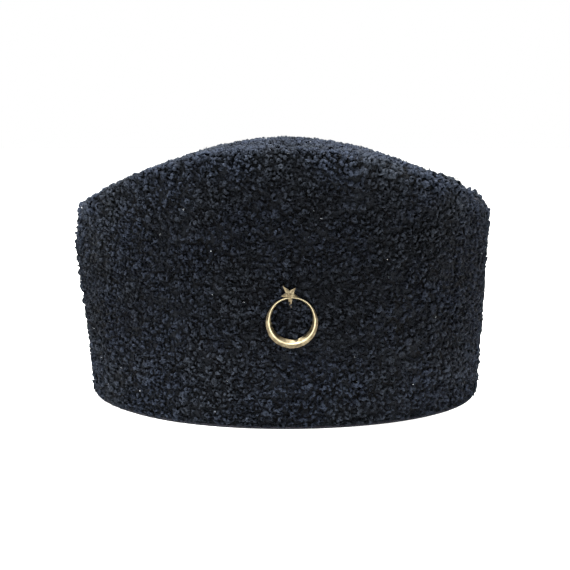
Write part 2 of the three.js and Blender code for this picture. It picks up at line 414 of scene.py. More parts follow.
@dataclass(frozen=True)
class CurledLambswool:
    """Karakul lambswool, dyed black: tight matt curls of fine crimped fibre.

    The dye takes unevenly, so patches lean a little to brown or to blue, and each curl has a tone
    of its own. The curls carry painted shade: they are painted darkest at their roots and in the
    creases between the lumps they gather into. The fibres have next to no shine, and a trace of fuzz.

    Attributes:
        name: The material's name.
        brown: The colour of the browner patches.
        blue: The colour of the bluer patches.
        patch: How far apart the patches are, in millimetres.
        fleck: How far apart the flecks on the curls are, in millimetres.
        lock: How far apart the locks of fibre are. Lambswool fibres are 0.03 mm thick, too fine
            to show, so they are drawn as these coarser locks.
        stretch: How much a lock is drawn out along its curl, as a share of its pattern's scale.
        tones: The shares of the colour for a tone of 0 and of 1. The tone holds each curl's own tone and
            painted light.
        roots: The shares at a curl's root and at its top: painted shade, deepest at the root.
        flecks: The shares in a dark and in a light fleck.
        streaks: The shares in a dark and in a light lock of fibre.
        creases: The shares in a crease and inside a lump: painted shade in the creases.
        gather: How deep the creases are shaded, in millimetres.
        relief: How high the locks of fibre stand, in millimetres.
    """

    name: str
    brown: str = "#1a1d22"
    blue: str = "#191d25"
    patch: float = 26.0
    fleck: float = 0.5
    lock: float = 0.3
    stretch: float = 0.6
    tones: tuple[float, float] = (0.22, 1.12)
    roots: tuple[float, float] = (0.25, 1.0)
    flecks: tuple[float, float] = (0.5, 1.5)
    streaks: tuple[float, float] = (0.35, 1.7)
    creases: tuple[float, float] = (0.0, 1.12)
    gather: float = 1.4
    relief: float = 0.3

    def material(self) -> bpy.types.Material:
        """Builds the material.

        Returns:
            The wool, which reads the attributes tone, rise and lump and the strands' UV map.
        """
        material, tree = blank_material(self.name)
        place = add_node(tree, "ShaderNodeTexCoord").outputs["Object"]
        strand = add_node(tree, "ShaderNodeUVMap", {"uv_map": "strand"}).outputs["UV"]
        tone, rise, lump = (
            add_node(tree, "ShaderNodeAttribute", {"attribute_name": name}).outputs["Fac"]
            for name in ("tone", "rise", "lump")
        )
        patches = add_noise(tree, place, per_metre(self.patch), 2.0, 0.6)
        hue = add_blend(tree, add_range(tree, patches, (0.38, 0.6)), self.brown, self.blue)
        flecks = add_noise(tree, place, per_metre(self.fleck), 3.0, 0.65)
        along = add_node(
            tree, "ShaderNodeMapping", {"Scale": (self.stretch, 1.0, 1.0)}, {"Vector": strand}
        )
        fibres = add_noise(tree, along.outputs["Vector"], 1 / self.lock, 2.0, 0.6)
        # Painted light comes in through tone; painted shade comes in through rise, at the curls' roots,
        # and lump, in the creases between lumps.
        shade = add_product(
            tree,
            add_range(tree, tone, (0.0, 1.0), self.tones),
            add_range(tree, rise, (0.35, 1.1), self.roots),
            add_range(tree, flecks, (0.34, 0.66), self.flecks),
            add_range(tree, lump, (0.0, 0.8), self.creases),
            add_range(tree, fibres, (0.36, 0.64), self.streaks),
        )
        colour = add_node(
            tree, "ShaderNodeVectorMath", {"operation": "SCALE"}, {"Vector": hue, "Scale": shade}
        )
        gathered = add_bump(tree, lump, 0.9, self.gather)
        add_shader(
            tree,
            {
                "Roughness": 0.82,
                "IOR": 1.54,
                "Specular IOR Level": 0.02,
                "Sheen Weight": 0.01,
                "Sheen Roughness": 0.5,
                "Sheen Tint": linear("#b3bccd"),
            },
            {
                "Base Color": colour.outputs["Vector"],
                "Normal": add_bump(tree, fibres, 1.0, self.relief, gathered),
            },
        )
        return material


@dataclass(frozen=True)
class ShadedPackedWool:
    """The lower wool that shows between the curls: crumbs in soft lumps, with dark creases.

    It is the same dyed lambswool, matted down near the hide. Its colours are painted shade: darker
    than the curls, since it lies deep between them, and darkest in the creases.

    Attributes:
        name: The material's name.
        light: The colour on top of the lumps: painted shade, darker than the curls.
        dark: The colour in the creases: painted shade.
        lump: How wide the lumps are, in millimetres.
        crease: How wide the creases are, in millimetres.
        crumb: How wide the crumbs are, in millimetres.
        grain: How far apart the finest grains are, in millimetres.
        relief: How deep it all is, in millimetres.
    """

    name: str
    light: str = "#0e1013"
    dark: str = "#010101"
    lump: float = 4.6
    crease: float = 0.85
    crumb: float = 1.5
    grain: float = 0.7
    relief: float = 0.9

    def material(self) -> bpy.types.Material:
        """Builds the material.

        Returns:
            The wool, which reads Object coordinates.
        """
        material, tree = blank_material(self.name)
        place = add_node(tree, "ShaderNodeTexCoord").outputs["Object"]
        lumps = add_lumps(tree, place, self.lump, self.crease)
        crumbs = add_lumps(tree, place, self.crumb, 0.4 * self.crumb)
        grain = add_noise(tree, place, per_metre(self.grain), 3.0, 0.65)
        relief = add_weighted(tree, grain, 0.7, add_weighted(tree, crumbs, 0.45, lumps))
        share = add_range(tree, relief, (0.35, 1.95))
        add_shader(
            tree,
            {"Roughness": 0.9, "Specular IOR Level": 0.03},
            {
                "Base Color": add_blend(tree, share, self.dark, self.light),
                "Normal": add_bump(tree, relief, 1.0, self.relief),
            },
        )
        return material


@dataclass(frozen=True)
class PlainNoise:
    """A matt finish of one colour that varies a little, with a fine relief.

    It serves the flesh side of the hide, lint and the studio's floor.

    Attributes:
        name: The material's name.
        dark: Its darkest colour.
        light: Its lightest colour.
        grain: How far apart its spots are, in millimetres.
        relief: How high they stand, in millimetres.
        roughness: The shader's roughness.
        glow: How strongly it gives off light.
    """

    name: str
    dark: str
    light: str
    grain: float
    relief: float
    roughness: float = 0.95
    glow: float = 0.0

    def material(self) -> bpy.types.Material:
        """Builds the material.

        Returns:
            The material, which reads Object coordinates.
        """
        material, tree = blank_material(self.name)
        place = add_node(tree, "ShaderNodeTexCoord").outputs["Object"]
        grain = add_noise(tree, place, per_metre(self.grain), 4.0, 0.6)
        share = add_range(tree, grain, (0.35, 0.65))
        add_shader(
            tree,
            {
                "Roughness": self.roughness,
                "Specular IOR Level": 0.05,
                "Emission Color": linear(self.light),
                "Emission Strength": self.glow,
            },
            {
                "Base Color": add_blend(tree, share, self.dark, self.light),
                "Normal": add_bump(tree, grain, 0.6, self.relief),
            },
        )
        return material


@dataclass(frozen=True)
class CastBrass:
    """Pale brass: bright where hands rub it, browner where they don't.

    A casting keeps small waves and pits, which break up its shine.

    Attributes:
        name: The material's name.
        rubbed: Its colour where it is rubbed.
        aged: Its colour where it isn't.
        tarnish: How far apart the stains are, in millimetres.
        pits: How far apart the pits are, in millimetres.
        rubbed_rough: The shader's roughness where it is rubbed.
        aged_rough: The shader's roughness where it isn't.
        relief: How deep the pits are, in millimetres.
    """

    name: str
    rubbed: str = "#a99d80"
    aged: str = "#40382a"
    tarnish: float = 2.2
    pits: float = 0.5
    rubbed_rough: float = 0.55
    aged_rough: float = 0.5
    relief: float = 0.05

    def material(self) -> bpy.types.Material:
        """Builds the material.

        Returns:
            The brass, which reads the attribute rubbed where a piece has one.
        """
        material, tree = blank_material(self.name)
        place = add_node(tree, "ShaderNodeTexCoord").outputs["Object"]
        rubbed = add_node(tree, "ShaderNodeAttribute", {"attribute_name": "rubbed"}).outputs["Fac"]
        stains = add_noise(tree, place, per_metre(self.tarnish), 3.0, 0.65)
        share = add_range(tree, add_weighted(tree, rubbed, 1.0, stains), (0.42, 1.3))
        pits = add_noise(tree, place, per_metre(self.pits))
        add_shader(
            tree,
            {"Metallic": 1.0},
            {
                "Base Color": add_blend(tree, share, self.aged, self.rubbed),
                "Roughness": add_range(
                    tree, share, (0.0, 1.0), (self.aged_rough, self.rubbed_rough)
                ),
                "Normal": add_bump(tree, pits, 0.5, self.relief),
            },
        )
        return material


# Locks of wool.


@dataclass(frozen=True)
class Bend:
    """One stretch of a lock's path: turn in degrees, radius and climb in mm, thickness at its end."""

    turn: float
    radius: float
    climb: float
    thick: float


@dataclass(frozen=True)
class Lock:
    """A lock of wool: a tapered strand that is swept round its bends.

    Attributes:
        name: What its shape is like.
        bends: The stretches of its path, one step of the sweep each.
        strand: Its radius at a thickness of 1, in millimetres.
        sides: How many sides its section has.
    """

    name: str
    bends: tuple[Bend, ...]
    strand: float = 0.64
    sides: int = 4

    def shape(self) -> "LockShape":
        """Sweeps the strand with spin and closes its two ends to points.

        Returns:
            The lock as arrays, centred on the middle of its box.
        """
        bm = bmesh.new()
        start = bmesh.ops.create_circle(
            bm,
            segments=self.sides,
            radius=self.strand,
            matrix=Matrix.Rotation(math.radians(90), 4, "X"),
        )["verts"]
        ring = list(start)
        mark = {v: (0.0, i) for i, v in enumerate(ring)}
        place, heading, length, thick = Vector((0, 0, 0)), math.radians(90), 0.0, 1.0
        for bend in self.bends:
            turn = math.radians(bend.turn)
            left = Vector((-math.sin(heading), math.cos(heading), 0)) * math.copysign(1, turn)
            centre = place + left * bend.radius
            edges = [e for e in bm.edges if all(v in ring for v in e.verts)]
            swept = bmesh.ops.spin(
                bm,
                geom=ring + edges,
                cent=centre,
                axis=(0, 0, 1),
                dvec=(0, 0, bend.climb),
                angle=turn,
                steps=1,
                use_merge=False,
                use_duplicate=False,
            )["geom_last"]
            after = [e for e in swept if isinstance(e, bmesh.types.BMVert)]
            length += math.hypot(bend.radius * turn, bend.climb)
            middle = sum((v.co for v in after), Vector()) / len(after)
            order = self._matched(ring, after, mark)
            for vert, index in order:
                mark[vert] = (length, index)
            change = bend.thick / thick
            bmesh.ops.scale(
                bm, vec=(change,) * 3, verts=after, space=Matrix.Translation(-middle)
            )
            place = middle
            heading, thick, ring = heading + turn, bend.thick, after
        for end in (start, ring):
            middle = sum((v.co for v in end), Vector()) / len(end)
            bmesh.ops.pointmerge(bm, verts=end, merge_co=middle)
        bmesh.ops.recalc_face_normals(bm, faces=bm.faces)
        return self._arrays(bm, mark)

    def _matched(
        self,
        before: Sequence[bmesh.types.BMVert],
        after: Sequence[bmesh.types.BMVert],
        mark: dict[bmesh.types.BMVert, tuple[float, int]],
    ) -> list[tuple[bmesh.types.BMVert, int]]:
        """Finds which side of the strand each new corner continues.

        Args:
            before: The corners that were swept.
            after: The corners that the sweep made.
            mark: The length and side of the corners so far.

        Returns:
            Each new corner with the number of its side.
        """
        old = set(before)
        found = []
        for vert in after:
            joined = [e.other_vert(vert) for e in vert.link_edges]
            parent = next(v for v in joined if v in old)
            found.append((vert, mark[parent][1]))
        return found

    def _arrays(
        self, bm: bmesh.types.BMesh, mark: dict[bmesh.types.BMVert, tuple[float, int]]
    ) -> "LockShape":
        """Reads the finished lock into arrays and frees it.

        Args:
            bm: The lock.
            mark: Along and side for each corner.

        Returns:
            The lock as arrays.
        """
        bm.verts.index_update()
        places = np.array([v.co for v in bm.verts])
        places -= (places.min(0) + places.max(0)) / 2
        corners, starts, uv = [], [], []
        for face in bm.faces:
            starts.append(len(corners))
            sides = [mark[v][1] for v in face.verts if v in mark]
            wraps = bool(sides) and max(sides) - min(sides) > 1
            for vert in face.verts:
                along, side = mark.get(vert, (0.0, 0))
                side = side + self.sides if wraps and side == 0 else side
                corners.append(vert.index)
                uv.append((along, side * math.tau * self.strand / self.sides))
        bm.free()
        return LockShape(places, np.array(corners), np.array(starts), np.array(uv))


@dataclass(frozen=True)
class LockShape:
    """A lock as arrays: corner places, the faces' corners and starts, and their strand UVs."""

    places: np.ndarray
    corners: np.ndarray
    starts: np.ndarray
    uv: np.ndarray


def steps(count: int, turn: float, radius: tuple[float, float], climb: float) -> list[Bend]:
    """Splits a bend into equal steps whose radius changes evenly.

    Args:
        count: How many steps.
        turn: The whole turn in degrees.
        radius: The radius at the first and at the last step, in millimetres.
        climb: The whole climb in millimetres.

    Returns:
        The steps, all at full thickness.
    """
    radii = np.linspace(radius[0], radius[1], count)
    return [Bend(turn / count, float(r), climb / count, 1.0) for r in radii]


def tapered(bends: Iterable[Bend], tip: float = 0.7) -> tuple[Bend, ...]:
    """Thins a path towards its end.

    Args:
        bends: The steps at full thickness.
        tip: The thickness of the last step but one.

    Returns:
        The steps with their thickness.
    """
    rows = list(bends)
    thin = np.interp(np.arange(len(rows)), [0, len(rows) // 2, len(rows) - 1], [1, 1.05, tip])
    return tuple(Bend(b.turn, b.radius, b.climb, float(t)) for b, t in zip(rows, thin))


CURLS: tuple[Lock, ...] = (
    Lock("ring", tapered(steps(7, 400, (0.9, 0.72), 0.6)), 0.64),
    Lock("snail", tapered(steps(8, 520, (1.1, 0.45), 0.9)), 0.72, 3),
    Lock("hook", tapered(steps(6, 270, (0.95, 0.78), 0.5), 0.6), 0.68),
    Lock("wave", tapered(steps(4, 190, (0.78, 0.8), 0.2) + steps(3, -170, (0.8, 0.75), 0.2)), 0.6),
    Lock("spring", tapered(steps(8, 530, (0.7, 0.6), 1.3)), 0.66, 3),
)
CURL_SHARES = (0.2, 0.31, 0.2, 0.07, 0.22)

LARGE = Lock("large round curl", tapered(steps(13, 760, (2.1, 0.5), 1.1)), 0.7)
LOOSE = Lock("loose lock", tapered(steps(5, 150, (1.0, 1.4), 0.5), 0.6), 0.17, 3)
STRAY = Lock("stray fibre", tapered(steps(5, 150, (2.0, 1.0), 0.8), 0.5), 0.08, 3)


@dataclass(frozen=True)
class Placement:
    """Where copies of a lock go: a turn, a size and a middle for each, and the ground below it."""

    turns: np.ndarray
    sizes: np.ndarray
    middles: np.ndarray
    roots: np.ndarray
    facing: np.ndarray
    tones: np.ndarray

    def pick(self, rows: np.ndarray) -> "Placement":
        """Keeps some of the copies."""
        return Placement(
            self.turns[rows],
            self.sizes[rows],
            self.middles[rows],
            self.roots[rows],
            self.facing[rows],
            self.tones[rows],
        )


def joined_locks(
    name: str,
    shapes: Sequence[tuple[LockShape, Placement]],
    material: bpy.types.Material,
    depth: float,
    crimp: float = 0.0,
    heave: float = 0.0,
) -> bpy.types.Object:
    """Joins many copies of locks into one mesh.

    Args:
        name: The piece's name.
        shapes: Each lock with the places of its copies.
        material: The finish.
        depth: How far below the ground's face the attribute rise is 0, in millimetres; rise sets the
            painted shade at the curls' roots.
        crimp: How unevenly the locks bulge, in millimetres.
        heave: How high the soft lumps stand that the locks gather into, in millimetres.

    Returns:
        The piece, with the attributes tone, rise and lump and the UV map strand.
    """
    places, rises, tones, lumps, corners, starts, uvs = [], [], [], [], [], [], []
    vert_base = corner_base = 0
    rng = np.random.default_rng(len(name))
    for shape, at in shapes:
        count, width = len(at.sizes), len(shape.places)
        spun = np.einsum("nij,mj->nmi", at.turns, shape.places)
        put = spun * at.sizes[:, None, None] + at.middles[:, None, :]
        put += rng.normal(0, crimp, put.shape)
        inside = np.ones((count, width, 1))
        if heave:
            inside = pillows(put.reshape(-1, 3), LUMP).reshape(count, width, 1)
            put += at.facing[:, None, :] * heave * (inside - 0.6)
        # Nothing hangs below the hem that the hat rests on.
        put[..., 2] = np.maximum(put[..., 2], 0.25)
        above = np.einsum("nmi,ni->nm", put - at.roots[:, None, :], at.facing)
        places.append(put.reshape(-1, 3))
        # rise and lump set the painted shade at the curls' roots and in the creases between lumps.
        rises.append((1 + above / depth).ravel())
        tones.append(np.repeat(at.tones, width))
        lumps.append(inside.ravel())
        step = vert_base + width * np.arange(count)[:, None]
        corners.append((shape.corners[None, :] + step).ravel())
        jump = corner_base + len(shape.corners) * np.arange(count)[:, None]
        starts.append((shape.starts[None, :] + jump).ravel())
        scaled = shape.uv[None] * at.sizes[:, None, None]
        shifted = scaled + np.stack([at.tones * 37, at.tones * 91], -1)[:, None]
        uvs.append(shifted.reshape(-1, 2))
        vert_base += width * count
        corner_base += len(shape.corners) * count
    mesh = bpy.data.meshes.new(name)
    mesh.vertices.add(vert_base)
    mesh.vertices.foreach_set("co", (np.concatenate(places) * MM).astype(np.float32).ravel())
    mesh.loops.add(corner_base)
    mesh.loops.foreach_set("vertex_index", np.concatenate(corners).astype(np.int32))
    first = np.concatenate(starts).astype(np.int32)
    mesh.polygons.add(len(first))
    mesh.polygons.foreach_set("loop_start", first)
    layer = mesh.uv_layers.new(name="strand")
    layer.uv.foreach_set("vector", np.concatenate(uvs).astype(np.float32).ravel())
    for label, values in (("tone", tones), ("rise", rises), ("lump", lumps)):
        attribute = mesh.attributes.new(label, "FLOAT", "POINT")
        attribute.data.foreach_set("value", np.concatenate(values).astype(np.float32))
    mesh.update(calc_edges=True)
    mesh.shade_smooth()
    mesh.materials.append(material)
    piece = bpy.data.objects.new(name, mesh)
    bpy.context.scene.collection.objects.link(piece)
    return piece


# The wool's ground.


@dataclass(frozen=True)
class Ground:
    """The outer face of a piece of hide, as triangles that the wool grows from.

    Attributes:
        corners: The three corners of each triangle, in millimetres.
        facing: The soft normal at each of them.
    """

    corners: np.ndarray
    facing: np.ndarray

    def candidates(self, count: int, rng: np.random.Generator) -> tuple[np.ndarray, np.ndarray]:
        """Picks places evenly over the face.

        Args:
            count: How many.
            rng: The random source.

        Returns:
            The places and the normals there.
        """
        a, b, c = self.corners[:, 0], self.corners[:, 1], self.corners[:, 2]
        area = np.linalg.norm(np.cross(b - a, c - a), axis=1)
        rows = rng.choice(len(area), count, p=area / area.sum())
        u, v = rng.random(count), rng.random(count)
        flip = u + v > 1
        u, v = np.where(flip, 1 - u, u), np.where(flip, 1 - v, v)
        weights = np.stack([1 - u - v, u, v], -1)[:, :, None]
        return (self.corners[rows] * weights).sum(1), unit((self.facing[rows] * weights).sum(1))

    def rim(self, step: float) -> tuple[np.ndarray, np.ndarray]:
        """Finds the line where the band and the crown meet.

        Args:
            step: How many degrees apart its points are.

        Returns:
            Its places and the normals there.
        """
        corners, facing = self.corners.reshape(-1, 3), self.facing.reshape(-1, 3)
        turns = np.round(angle_round(corners) / 5).astype(int)
        reach = np.hypot(corners[:, 0], corners[:, 1]) + corners[:, 2]
        best = []
        for turn in np.unique(turns):
            rows = np.flatnonzero(turns == turn)
            best.append(rows[np.argmax(reach[rows])])
        around = angle_round(corners[best])
        wanted = np.arange(-180, 180, step)
        table = np.concatenate([corners[best], facing[best]], axis=1)
        order = np.argsort(around)
        columns = [np.interp(wanted, around[order], column[order], period=360) for column in table.T]
        found = np.stack(columns, -1)
        return found[:, :3], unit(found[:, 3:])

    def with_spots(
        self, places: np.ndarray, facing: np.ndarray, spots: Sequence["Spot"]
    ) -> tuple[np.ndarray, np.ndarray]:
        """Adds known spots to places.

        Args:
            places: The places.
            facing: The normals there.
            spots: The spots that come after them.

        Returns:
            All the places and their normals.
        """
        known = [self.nearest(spot) for spot in spots]
        return (
            np.concatenate([places, *(place[None] for place, _ in known)]),
            np.concatenate([facing, *(way[None] for _, way in known)]),
        )

    def nearest(self, spot: "Spot") -> tuple[np.ndarray, np.ndarray]:
        """Finds the corner of the face that is nearest to a spot.

        Args:
            spot: Where to look.

        Returns:
            The corner's place and its normal.
        """
        places = self.corners.reshape(-1, 3)
        away = np.radians((angle_round(places) - spot.around + 180) % 360 - 180) * BAND_RADIUS
        best = int(np.argmin(away**2 + (places[:, 2] - spot.height) ** 2))
        return places[best], self.facing.reshape(-1, 3)[best]


@dataclass(frozen=True)
class Spot:
    """A spot on the band, by its angle round the hat and its height in millimetres."""

    name: str
    around: float
    height: float
    node: str = "side_band"


LARGE_CURLS: tuple[Spot, ...] = (
    Spot("right of the badge", 44, 54),
    Spot("below it", 35, 42),
    Spot("above the badge's right", 23, 76),
    Spot("low at the right front", 33, 17),
    Spot("low at the left front", -21, 14),
    Spot("under the left rim", -37, 95),
)


def spaced(places: np.ndarray, gaps: np.ndarray) -> np.ndarray:
    """Drops each place that lies too near to one before it.

    Args:
        places: The points, in the order in which they are tried.
        gaps: How much room each needs, in millimetres.

    Returns:
        The numbers of the places that stay.
    """
    cell = float(gaps.max())
    cells = np.floor(places / cell).astype(int)
    kept: dict[tuple[int, int, int], list[tuple[float, float, float, float]]] = {}
    stay = []
    around = [(i, j, k) for i in (-1, 0, 1) for j in (-1, 0, 1) for k in (-1, 0, 1)]
    for row, ((x, y, z), (i, j, k), gap) in enumerate(
        zip(places.tolist(), cells.tolist(), gaps.tolist())
    ):
        clear = True
        for di, dj, dk in around:
            for px, py, pz, pg in kept.get((i + di, j + dj, k + dk), ()):
                room = (gap + pg) / 2
                if (x - px) ** 2 + (y - py) ** 2 + (z - pz) ** 2 < room * room:
                    clear = False
                    break
            if not clear:
                break
        if clear:
            kept.setdefault((i, j, k), []).append((x, y, z, gap))
            stay.append(row)
    return np.array(stay)


@dataclass(frozen=True)
class Zone:
    """A place where the wool differs: its middle, its reach, and what it does to the curls."""

    name: str
    around: float
    height: float
    reach: float
    size: float = 0.0
    lift: float = 0.0
    # tone: how much lighter the curls are painted there, as painted light.
    tone: float = 0.0
    lumpy: float = 0.0


ZONES: tuple[Zone, ...] = (
    Zone("round curls at the lower right", 42, 28, 34, size=0.2, lift=0.2),
    Zone("fine curls in the middle of the front", -8, 70, 45, size=-0.1),
    Zone("tufts at the left", -84, 78, 26, size=0.12, lift=0.7),
    Zone("rubbed wool at the right", 78, 60, 30, size=-0.05, lift=-0.15),
    Zone("tufts at the right rim", 80, 92, 18, size=0.1, lift=0.45),
    Zone("small bumps at the left edge", -97, 84, 28, size=0.15, lift=0.3, lumpy=1.0),
    # The tones below are painted light: from the lamps above on the left shoulder and the crown, and
    # from the floor low at the front.
    Zone("painted light on the left shoulder", -62, 113, 32, tone=1.1),
    Zone("painted light on the crown left of the front", -32, 127, 26, tone=0.8),
    Zone("painted floor light low at the left front", -20, 10, 48, tone=0.3),
    Zone("rolled curls at the right rim, near the front", 21, 122, 13, size=0.3, lift=1.5, lumpy=1.0),
    Zone("rolled curls at the right rim", 35, 117, 14, size=0.3, lift=2.3, lumpy=1.1),
    Zone("rolled curls at the right rim, near the side", 52, 109, 14, size=0.2, lift=2.2, lumpy=1.1),
    Zone("bumpy wool over the right shoulder", 76, 113, 32, size=0.15, lift=-0.3, lumpy=1.4),
)

PANEL_SEAM_AROUND = 31.0
PANEL_SEAM_TOP = 62.0
PANEL_SEAM_WIDTH = 1.3


def angle_round(places: np.ndarray) -> np.ndarray:
    """Gives the angle round the hat at each place, in degrees from the front towards +X."""
    return np.degrees(np.arctan2(places[:, 0], -places[:, 1]))


def zone_sum(places: np.ndarray, reads: Callable[[Zone], float]) -> np.ndarray:
    """Adds up what the zones do at each place.

    Args:
        places: Points in millimetres.
        reads: Which of a zone's values to add.

    Returns:
        The sum for each place.
    """
    around = angle_round(places)
    total = np.zeros(len(places))
    for zone in ZONES:
        arc = np.radians((around - zone.around + 180) % 360 - 180) * BAND_RADIUS
        away = np.hypot(arc, places[:, 2] - zone.height)
        total += reads(zone) * np.exp(-((away / zone.reach) ** 2))
    return total


# The badge.


@dataclass(frozen=True)
class StarPoint:
    """A point of the star: its direction in degrees from straight right, and its reach as a share."""

    turn: float
    reach: float


@dataclass(frozen=True)
class Badge:
    """A cast crescent with a star at its tips, with a post soldered to its back.

    Its sizes repeat those of the part, in millimetres, in the badge's own plane.
    """

    seat: tuple[float, float, float] = (3.079, -100.333, 50.6)
    lean: float = 2.629
    turn: float = 1.644
    lift: float = 0.3
    outer: float = 11.8
    hollow: float = 9.5
    offset: float = 1.75
    ridge: float = 2.7
    tip_ridge: float = 1.0
    edge: float = 0.6
    ridge_share: float = 0.43
    tip_share: float = 0.85
    ridge_round: float = 0.1
    wear_width: float = 0.2
    star_radius: float = 5.0
    star_waist: float = 1.9
    star_rise: float = 12.9
    star_across: float = -0.95
    star_ridge: float = 2.0
    star_edge: float = 0.7
    post_radius: float = 1.0
    post_end: float = -9.5
    segments: int = 120
    points: tuple[StarPoint, ...] = (
        StarPoint(-84.5, 1.22),
        StarPoint(-13.5, 0.81),
        StarPoint(51, 0.83),
        StarPoint(128.5, 1.06),
        StarPoint(188.5, 0.83),
    )

    def place(self) -> Matrix:
        """Gives the turn and place of the badge's plane on the front of the hat."""
        upright = Matrix.Rotation(math.radians(90 + self.lean), 4, "X")
        aside = Matrix.Rotation(math.radians(self.turn), 4, "Z")
        return Matrix.Translation(self.seat) @ aside @ upright

    def flat(self, places: np.ndarray) -> np.ndarray:
        """Gives places on the hat as coordinates in the badge's own plane."""
        back = np.array(self.place().inverted())
        return places @ back[:3, :3].T + back[:3, 3]

    def beyond_metal(self, places: np.ndarray) -> np.ndarray:
        """Measures how far each place is from the badge's outline, seen square to its plane.

        Args:
            places: Points on the hat, in millimetres.

        Returns:
            The distance in millimetres, negative under the metal.
        """
        x, y, z = self.flat(places).T
        outside = np.hypot(x, y) - self.outer
        inside = self.hollow - np.hypot(x, y - self.offset)
        crescent = np.maximum(outside, inside)
        star = np.hypot(x - self.star_across, y - self.star_rise) - 0.55 * self.star_radius
        near = np.minimum(crescent, star)
        return np.where(np.abs(z) < 15, near, 99.0)

    def inside_ring(self, places: np.ndarray) -> np.ndarray:
        """Gives 1 for each place on the hat that shows through the crescent, and 0 elsewhere."""
        x, y, z = self.flat(places).T
        return (np.hypot(x, y - self.offset) < self.hollow) & (np.abs(z) < 15)

    def _section(self, turn: float) -> list[tuple[float, float, float]]:
        """Gives the crescent's section at an angle round its hollow.

        Args:
            turn: The angle in radians, from straight right.

        Returns:
            The reach, the height and the wear of each row of the section.
        """
        along = self.offset * math.sin(turn)
        outer = math.sqrt(along**2 + self.outer**2 - self.offset**2) - along
        width = outer - self.hollow
        widest = self.outer + self.offset - self.hollow
        ease = min(max((math.sin(turn) - 0.1) / 0.8, 0), 1)
        share = self.ridge_share + (self.tip_share - self.ridge_share) * ease**2 * (3 - 2 * ease)
        height = self.tip_ridge + (self.ridge - self.tip_ridge) * math.sqrt(width / widest)
        soft = min(self.ridge_round, 0.25 * width)
        section = [(self.hollow, 0.0, 0.0)]
        for side, run in ((-1, share * width), (1, (1 - share) * width)):
            slope = (height - self.edge) / (math.hypot(run, soft) - soft)
            parts = (1.0, 0.6, 0.3, 0.1) if side < 0 else (0.1, 0.3, 0.6, 1.0)
            for part in parts:
                away = part * run
                fall = slope * (math.hypot(away, soft) - soft)
                wear = math.exp(-((away / self.wear_width) ** 2))
                section.append((self.hollow + share * width + side * away, height - fall, wear))
        section.append((outer, 0.0, 0.0))
        return section

    def crescent(self) -> bmesh.types.BMesh:
        """Bridges the rows of the crescent's section, each a loop of its own.

        Returns:
            The crescent in the badge's plane.
        """
        bm = bmesh.new()
        rubbed = bm.verts.layers.float.new("rubbed")
        rows = len(self._section(0.0))
        loops = []
        for row in range(rows):
            made = bmesh.ops.create_circle(bm, segments=self.segments, radius=self.hollow)["verts"]
            for vert in made:
                turn = math.atan2(vert.co.y, vert.co.x)
                reach, height, wear = self._section(turn)[row]
                across, up = reach * math.cos(turn), reach * math.sin(turn)
                vert.co = (across, self.offset + up, height)
                vert[rubbed] = wear
            loops.append(self._edges(made))
        for first, second in zip(loops, loops[1:] + loops[:1]):
            bmesh.ops.bridge_loops(bm, edges=first + second)
        bmesh.ops.recalc_face_normals(bm, faces=bm.faces)
        return bm

    def _edges(self, verts: Sequence[bmesh.types.BMVert]) -> list[bmesh.types.BMEdge]:
        """Finds the edges that join corners of one loop."""
        inside = set(verts)
        return list({e for v in verts for e in v.link_edges if e.other_vert(v) in inside})

    def _soften(
        self, bm: bmesh.types.BMesh, edges: Sequence[bmesh.types.BMEdge], width: float
    ) -> list[bmesh.types.BMVert]:
        """Rounds edges as casting and handling do.

        Args:
            bm: The shape.
            edges: Its sharp edges.
            width: The width of the rounding, in millimetres.

        Returns:
            The corners of the rounding.
        """
        rounded = bmesh.ops.bevel(
            bm,
            geom=list(edges),
            offset=width,
            segments=2,
            profile=0.5,
            affect="EDGES",
            material=-1,
            clamp_overlap=True,
        )
        return rounded["verts"]

    def star(self) -> bmesh.types.BMesh:
        """Pokes a star-shaped face up to a peak, and gives it a flat back.

        Returns:
            The star in the badge's plane.
        """
        bm = bmesh.new()
        rubbed = bm.verts.layers.float.new("rubbed")
        circle = bmesh.ops.create_circle(bm, cap_ends=True, segments=10, radius=1.0)["verts"]
        rim = []
        for i, point in enumerate(self.points):
            after = self.points[(i + 1) % len(self.points)]
            between = point.turn + ((after.turn - point.turn) % 360) / 2
            rim += [(point.turn, self.star_radius * point.reach), (between, self.star_waist)]
        ordered = sorted(circle, key=lambda v: math.atan2(v.co.y, v.co.x))
        rim = sorted(rim, key=lambda row: (row[0] + 180) % 360)
        for vert, (turn, reach) in zip(ordered, rim):
            angle = math.radians(turn)
            across, up = reach * math.cos(angle), reach * math.sin(angle)
            vert.co = (self.star_across + across, self.star_rise + up, 0)
        raised = bmesh.ops.extrude_face_region(bm, geom=list(bm.faces), use_keep_orig=True)["geom"]
        top = [g for g in raised if isinstance(g, bmesh.types.BMFace)]
        bmesh.ops.translate(bm, vec=(0, 0, self.star_edge), verts=list(top[0].verts))
        peak = bmesh.ops.poke(bm, faces=top)["verts"][0]
        peak.co = (self.star_across, self.star_rise, self.star_ridge)
        ridges = []
        for edge in peak.link_edges:
            end = edge.other_vert(peak)
            reach = math.hypot(end.co.x - self.star_across, end.co.y - self.star_rise)
            if reach > 1.5 * self.star_waist:
                ridges.append(edge)
        bmesh.ops.recalc_face_normals(bm, faces=bm.faces)
        for vert in self._soften(bm, ridges, 0.3):
            across, up = vert.co.x - self.star_across, vert.co.y - self.star_rise
            away = min(self._from_arm(across, up, point) for point in self.points)
            vert[rubbed] = math.exp(-((away / 0.45) ** 2))
        return bm

